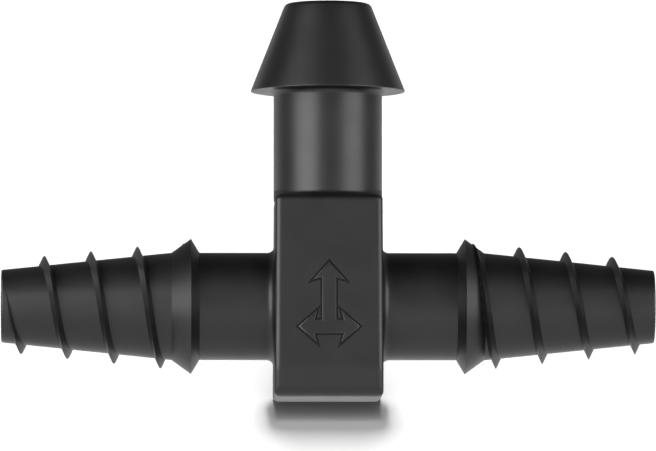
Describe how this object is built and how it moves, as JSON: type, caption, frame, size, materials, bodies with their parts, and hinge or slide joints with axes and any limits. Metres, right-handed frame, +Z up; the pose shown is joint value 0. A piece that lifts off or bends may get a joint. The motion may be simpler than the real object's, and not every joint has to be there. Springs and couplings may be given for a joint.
{
  "type": "barbed tee connector",
  "caption": "Barbed tee for micro-irrigation tubing: two spiral-barbed arms on a run, a cone-barbed branch on top and a rounded centre block.",
  "frame": {"origin": "centre of the centre block's flat underside", "axes": "+Z up along the branch, +X along the run, the face with the flow mark looks along -Y"},
  "size_m": [0.0256, 0.006, 0.0155],
  "materials": {
    "black_polypropylene": "satin black injection moulding, slightly shiny on the cones"
  },
  "bodies": {
    "root": {"center_block": "black_polypropylene", "branch_stem": "black_polypropylene", "branch_cone_barb": "black_polypropylene", "left_stem": "black_polypropylene", "left_collar_barb": "black_polypropylene", "left_spiral_barb": "black_polypropylene", "right_stem": "black_polypropylene", "right_collar_barb": "black_polypropylene", "right_spiral_barb": "black_polypropylene"}
  },
  "joints": []
}
